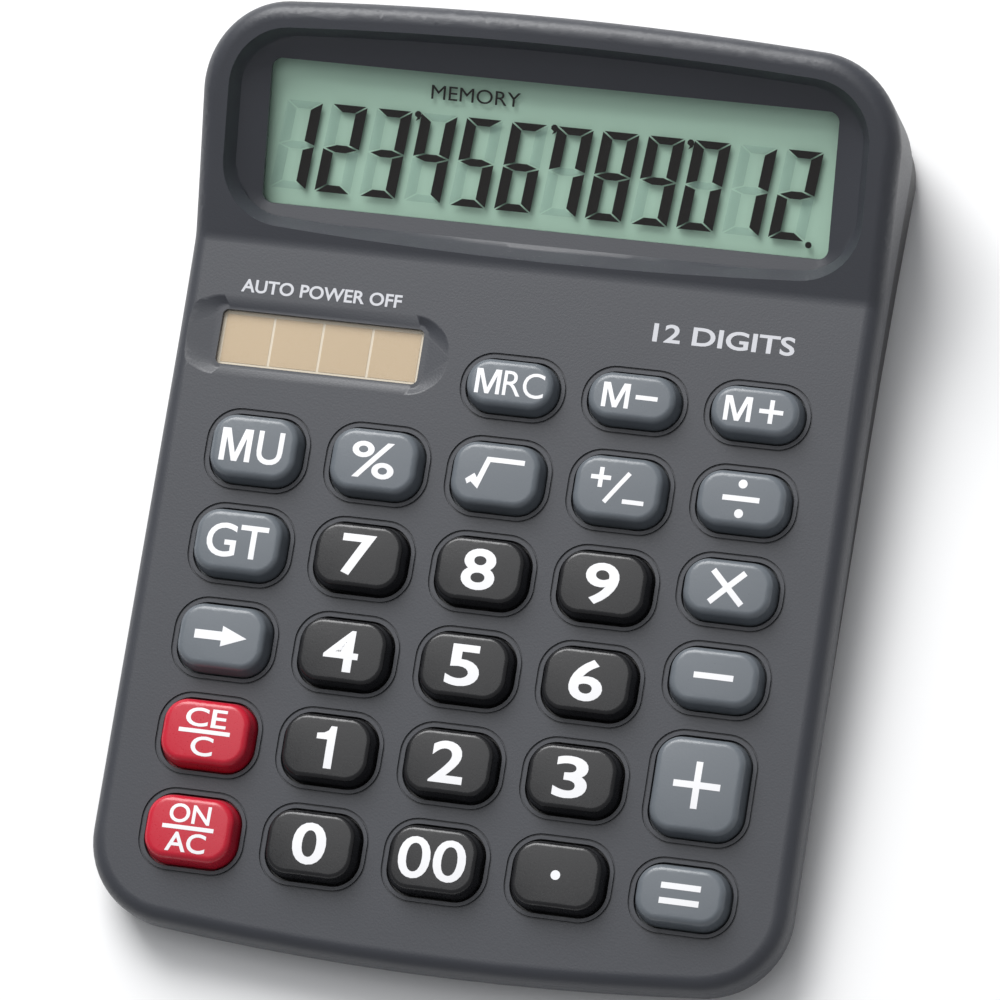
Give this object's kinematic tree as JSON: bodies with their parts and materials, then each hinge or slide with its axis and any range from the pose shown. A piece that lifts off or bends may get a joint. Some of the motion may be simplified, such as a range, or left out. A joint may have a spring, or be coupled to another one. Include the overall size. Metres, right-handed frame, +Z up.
{
  "type": "desktop calculator",
  "caption": "Desktop calculator: wedge-shaped two-shell case with a raised tilted display pod, sprung rounded keys on a rubber sheet, solar strip and a sliding battery cover.",
  "frame": {"origin": "on the surface the feet stand on, under the middle of the case's box", "axes": "+X to the user's right, +Y to the back (the display end), +Z up"},
  "size_m": [0.1198, 0.1594, 0.0331],
  "materials": {
    "case_front": "fine satin texture, moulded ABS",
    "case_rear": "fine matt texture, moulded ABS",
    "key_grey": "satin moulded ABS",
    "key_black": "satin moulded ABS",
    "key_red": "satin moulded ABS",
    "silicone": "matt silicone rubber",
    "circuit_board": "solder-masked laminate",
    "steel": "zinc-plated",
    "plated_steel": "nickel-plated",
    "epoxy": "poured epoxy",
    "capacitor_sleeve": "shrink sleeve",
    "diode_glass": "glass-cased diode",
    "resistor": "lacquered ceramic",
    "display_lens": "polished clear acrylic",
    "display_glass": "reflective display glass",
    "bracket_plastic": "moulded ABS",
    "film": "printed polyester film",
    "solar_cover": "polished clear acrylic",
    "solar_silicon": "amorphous silicon on glass",
    "cell_label": "printed sleeve on a steel can",
    "foot_rubber": "matt rubber",
    "red_insulation": "PVC insulation",
    "black_insulation": "PVC insulation"
  },
  "bodies": {
    "case": {"battery_cell": "cell_label", "battery_lead_black": "black_insulation", "battery_lead_red": "red_insulation", "board_screws": "steel", "bracket_screws": "steel", "capacitor": "capacitor_sleeve", "case_screws": "steel", "chip_cover": "epoxy", "clamp_diode": "diode_glass", "display_bracket": "bracket_plastic", "display_panel": "display_glass", "display_window": "display_lens", "front_housing": "case_front", "heat_seal_connector": "film", "keypad_sheet": "silicone", "main_board": "circuit_board", "negative_contact": "plated_steel", "positive_contact": "plated_steel", "rear_housing": "case_rear", "resistors": "resistor", "rubber_feet": "foot_rubber", "solar_cell": "solar_silicon", "solar_lead_black": "black_insulation", "solar_lead_red": "red_insulation", "solar_window": "solar_cover"},
    "key_0": {"key_0": "key_black"},
    "key_00": {"key_00": "key_black"},
    "key_1": {"key_1": "key_black"},
    "key_2": {"key_2": "key_black"},
    "key_3": {"key_3": "key_black"},
    "key_4": {"key_4": "key_black"},
    "key_5": {"key_5": "key_black"},
    "key_6": {"key_6": "key_black"},
    "key_7": {"key_7": "key_black"},
    "key_8": {"key_8": "key_black"},
    "key_9": {"key_9": "key_black"},
    "key_add": {"key_add": "key_grey"},
    "key_arrow": {"key_arrow": "key_grey"},
    "key_ce": {"key_ce": "key_red"},
    "key_divide": {"key_divide": "key_grey"},
    "key_equals": {"key_equals": "key_grey"},
    "key_gt": {"key_gt": "key_grey"},
    "key_m_minus": {"key_m_minus": "key_grey"},
    "key_m_plus": {"key_m_plus": "key_grey"},
    "key_mrc": {"key_mrc": "key_grey"},
    "key_mu": {"key_mu": "key_grey"},
    "key_multiply": {"key_multiply": "key_grey"},
    "key_on": {"key_on": "key_red"},
    "key_percent": {"key_percent": "key_grey"},
    "key_point": {"key_point": "key_black"},
    "key_root": {"key_root": "key_grey"},
    "key_sign": {"key_sign": "key_grey"},
    "key_subtract": {"key_subtract": "key_grey"},
    "battery_cover": {"battery_cover": "case_rear"}
  },
  "joints": [
    {"name": "key_0_press", "type": "slide", "parent": "case", "child": "key_0", "axis": [0, 0.061, -0.9981], "range_m": [0, 0.0015], "stiffness_N_per_m": 400, "deforming": ["keypad_sheet"]},
    {"name": "key_00_press", "type": "slide", "parent": "case", "child": "key_00", "axis": [0, 0.061, -0.9981], "range_m": [0, 0.0015], "stiffness_N_per_m": 400, "deforming": ["keypad_sheet"]},
    {"name": "key_1_press", "type": "slide", "parent": "case", "child": "key_1", "axis": [0, 0.061, -0.9981], "range_m": [0, 0.0015], "stiffness_N_per_m": 400, "deforming": ["keypad_sheet"]},
    {"name": "key_2_press", "type": "slide", "parent": "case", "child": "key_2", "axis": [0, 0.061, -0.9981], "range_m": [0, 0.0015], "stiffness_N_per_m": 400, "deforming": ["keypad_sheet"]},
    {"name": "key_3_press", "type": "slide", "parent": "case", "child": "key_3", "axis": [0, 0.061, -0.9981], "range_m": [0, 0.0015], "stiffness_N_per_m": 400, "deforming": ["keypad_sheet"]},
    {"name": "key_4_press", "type": "slide", "parent": "case", "child": "key_4", "axis": [0, 0.061, -0.9981], "range_m": [0, 0.0015], "stiffness_N_per_m": 400, "deforming": ["keypad_sheet"]},
    {"name": "key_5_press", "type": "slide", "parent": "case", "child": "key_5", "axis": [0, 0.061, -0.9981], "range_m": [0, 0.0015], "stiffness_N_per_m": 400, "deforming": ["keypad_sheet"]},
    {"name": "key_6_press", "type": "slide", "parent": "case", "child": "key_6", "axis": [0, 0.061, -0.9981], "range_m": [0, 0.0015], "stiffness_N_per_m": 400, "deforming": ["keypad_sheet"]},
    {"name": "key_7_press", "type": "slide", "parent": "case", "child": "key_7", "axis": [0, 0.061, -0.9981], "range_m": [0, 0.0015], "stiffness_N_per_m": 400, "deforming": ["keypad_sheet"]},
    {"name": "key_8_press", "type": "slide", "parent": "case", "child": "key_8", "axis": [0, 0.061, -0.9981], "range_m": [0, 0.0015], "stiffness_N_per_m": 400, "deforming": ["keypad_sheet"]},
    {"name": "key_9_press", "type": "slide", "parent": "case", "child": "key_9", "axis": [0, 0.061, -0.9981], "range_m": [0, 0.0015], "stiffness_N_per_m": 400, "deforming": ["keypad_sheet"]},
    {"name": "key_add_press", "type": "slide", "parent": "case", "child": "key_add", "axis": [0, 0.061, -0.9981], "range_m": [0, 0.0015], "stiffness_N_per_m": 400, "deforming": ["keypad_sheet"]},
    {"name": "key_arrow_press", "type": "slide", "parent": "case", "child": "key_arrow", "axis": [0, 0.061, -0.9981], "range_m": [0, 0.0015], "stiffness_N_per_m": 400, "deforming": ["keypad_sheet"]},
    {"name": "key_ce_press", "type": "slide", "parent": "case", "child": "key_ce", "axis": [0, 0.061, -0.9981], "range_m": [0, 0.0015], "stiffness_N_per_m": 400, "deforming": ["keypad_sheet"]},
    {"name": "key_divide_press", "type": "slide", "parent": "case", "child": "key_divide", "axis": [0, 0.061, -0.9981], "range_m": [0, 0.0015], "stiffness_N_per_m": 400, "deforming": ["keypad_sheet"]},
    {"name": "key_equals_press", "type": "slide", "parent": "case", "child": "key_equals", "axis": [0, 0.061, -0.9981], "range_m": [0, 0.0015], "stiffness_N_per_m": 400, "deforming": ["keypad_sheet"]},
    {"name": "key_gt_press", "type": "slide", "parent": "case", "child": "key_gt", "axis": [0, 0.061, -0.9981], "range_m": [0, 0.0015], "stiffness_N_per_m": 400, "deforming": ["keypad_sheet"]},
    {"name": "key_m_minus_press", "type": "slide", "parent": "case", "child": "key_m_minus", "axis": [0, 0.061, -0.9981], "range_m": [0, 0.0015], "stiffness_N_per_m": 400, "deforming": ["keypad_sheet"]},
    {"name": "key_m_plus_press", "type": "slide", "parent": "case", "child": "key_m_plus", "axis": [0, 0.061, -0.9981], "range_m": [0, 0.0015], "stiffness_N_per_m": 400, "deforming": ["keypad_sheet"]},
    {"name": "key_mrc_press", "type": "slide", "parent": "case", "child": "key_mrc", "axis": [0, 0.061, -0.9981], "range_m": [0, 0.0015], "stiffness_N_per_m": 400, "deforming": ["keypad_sheet"]},
    {"name": "key_mu_press", "type": "slide", "parent": "case", "child": "key_mu", "axis": [0, 0.061, -0.9981], "range_m": [0, 0.0015], "stiffness_N_per_m": 400, "deforming": ["keypad_sheet"]},
    {"name": "key_multiply_press", "type": "slide", "parent": "case", "child": "key_multiply", "axis": [0, 0.061, -0.9981], "range_m": [0, 0.0015], "stiffness_N_per_m": 400, "deforming": ["keypad_sheet"]},
    {"name": "key_on_press", "type": "slide", "parent": "case", "child": "key_on", "axis": [0, 0.061, -0.9981], "range_m": [0, 0.0015], "stiffness_N_per_m": 400, "deforming": ["keypad_sheet"]},
    {"name": "key_percent_press", "type": "slide", "parent": "case", "child": "key_percent", "axis": [0, 0.061, -0.9981], "range_m": [0, 0.0015], "stiffness_N_per_m": 400, "deforming": ["keypad_sheet"]},
    {"name": "key_point_press", "type": "slide", "parent": "case", "child": "key_point", "axis": [0, 0.061, -0.9981], "range_m": [0, 0.0015], "stiffness_N_per_m": 400, "deforming": ["keypad_sheet"]},
    {"name": "key_root_press", "type": "slide", "parent": "case", "child": "key_root", "axis": [0, 0.061, -0.9981], "range_m": [0, 0.0015], "stiffness_N_per_m": 400, "deforming": ["keypad_sheet"]},
    {"name": "key_sign_press", "type": "slide", "parent": "case", "child": "key_sign", "axis": [0, 0.061, -0.9981], "range_m": [0, 0.0015], "stiffness_N_per_m": 400, "deforming": ["keypad_sheet"]},
    {"name": "key_subtract_press", "type": "slide", "parent": "case", "child": "key_subtract", "axis": [0, 0.061, -0.9981], "range_m": [0, 0.0015], "stiffness_N_per_m": 400, "deforming": ["keypad_sheet"]},
    {"name": "battery_cover_slide", "type": "slide", "parent": "case", "child": "battery_cover", "axis": [0, 1, 0], "range_m": [0, 0.022]}
  ]
}
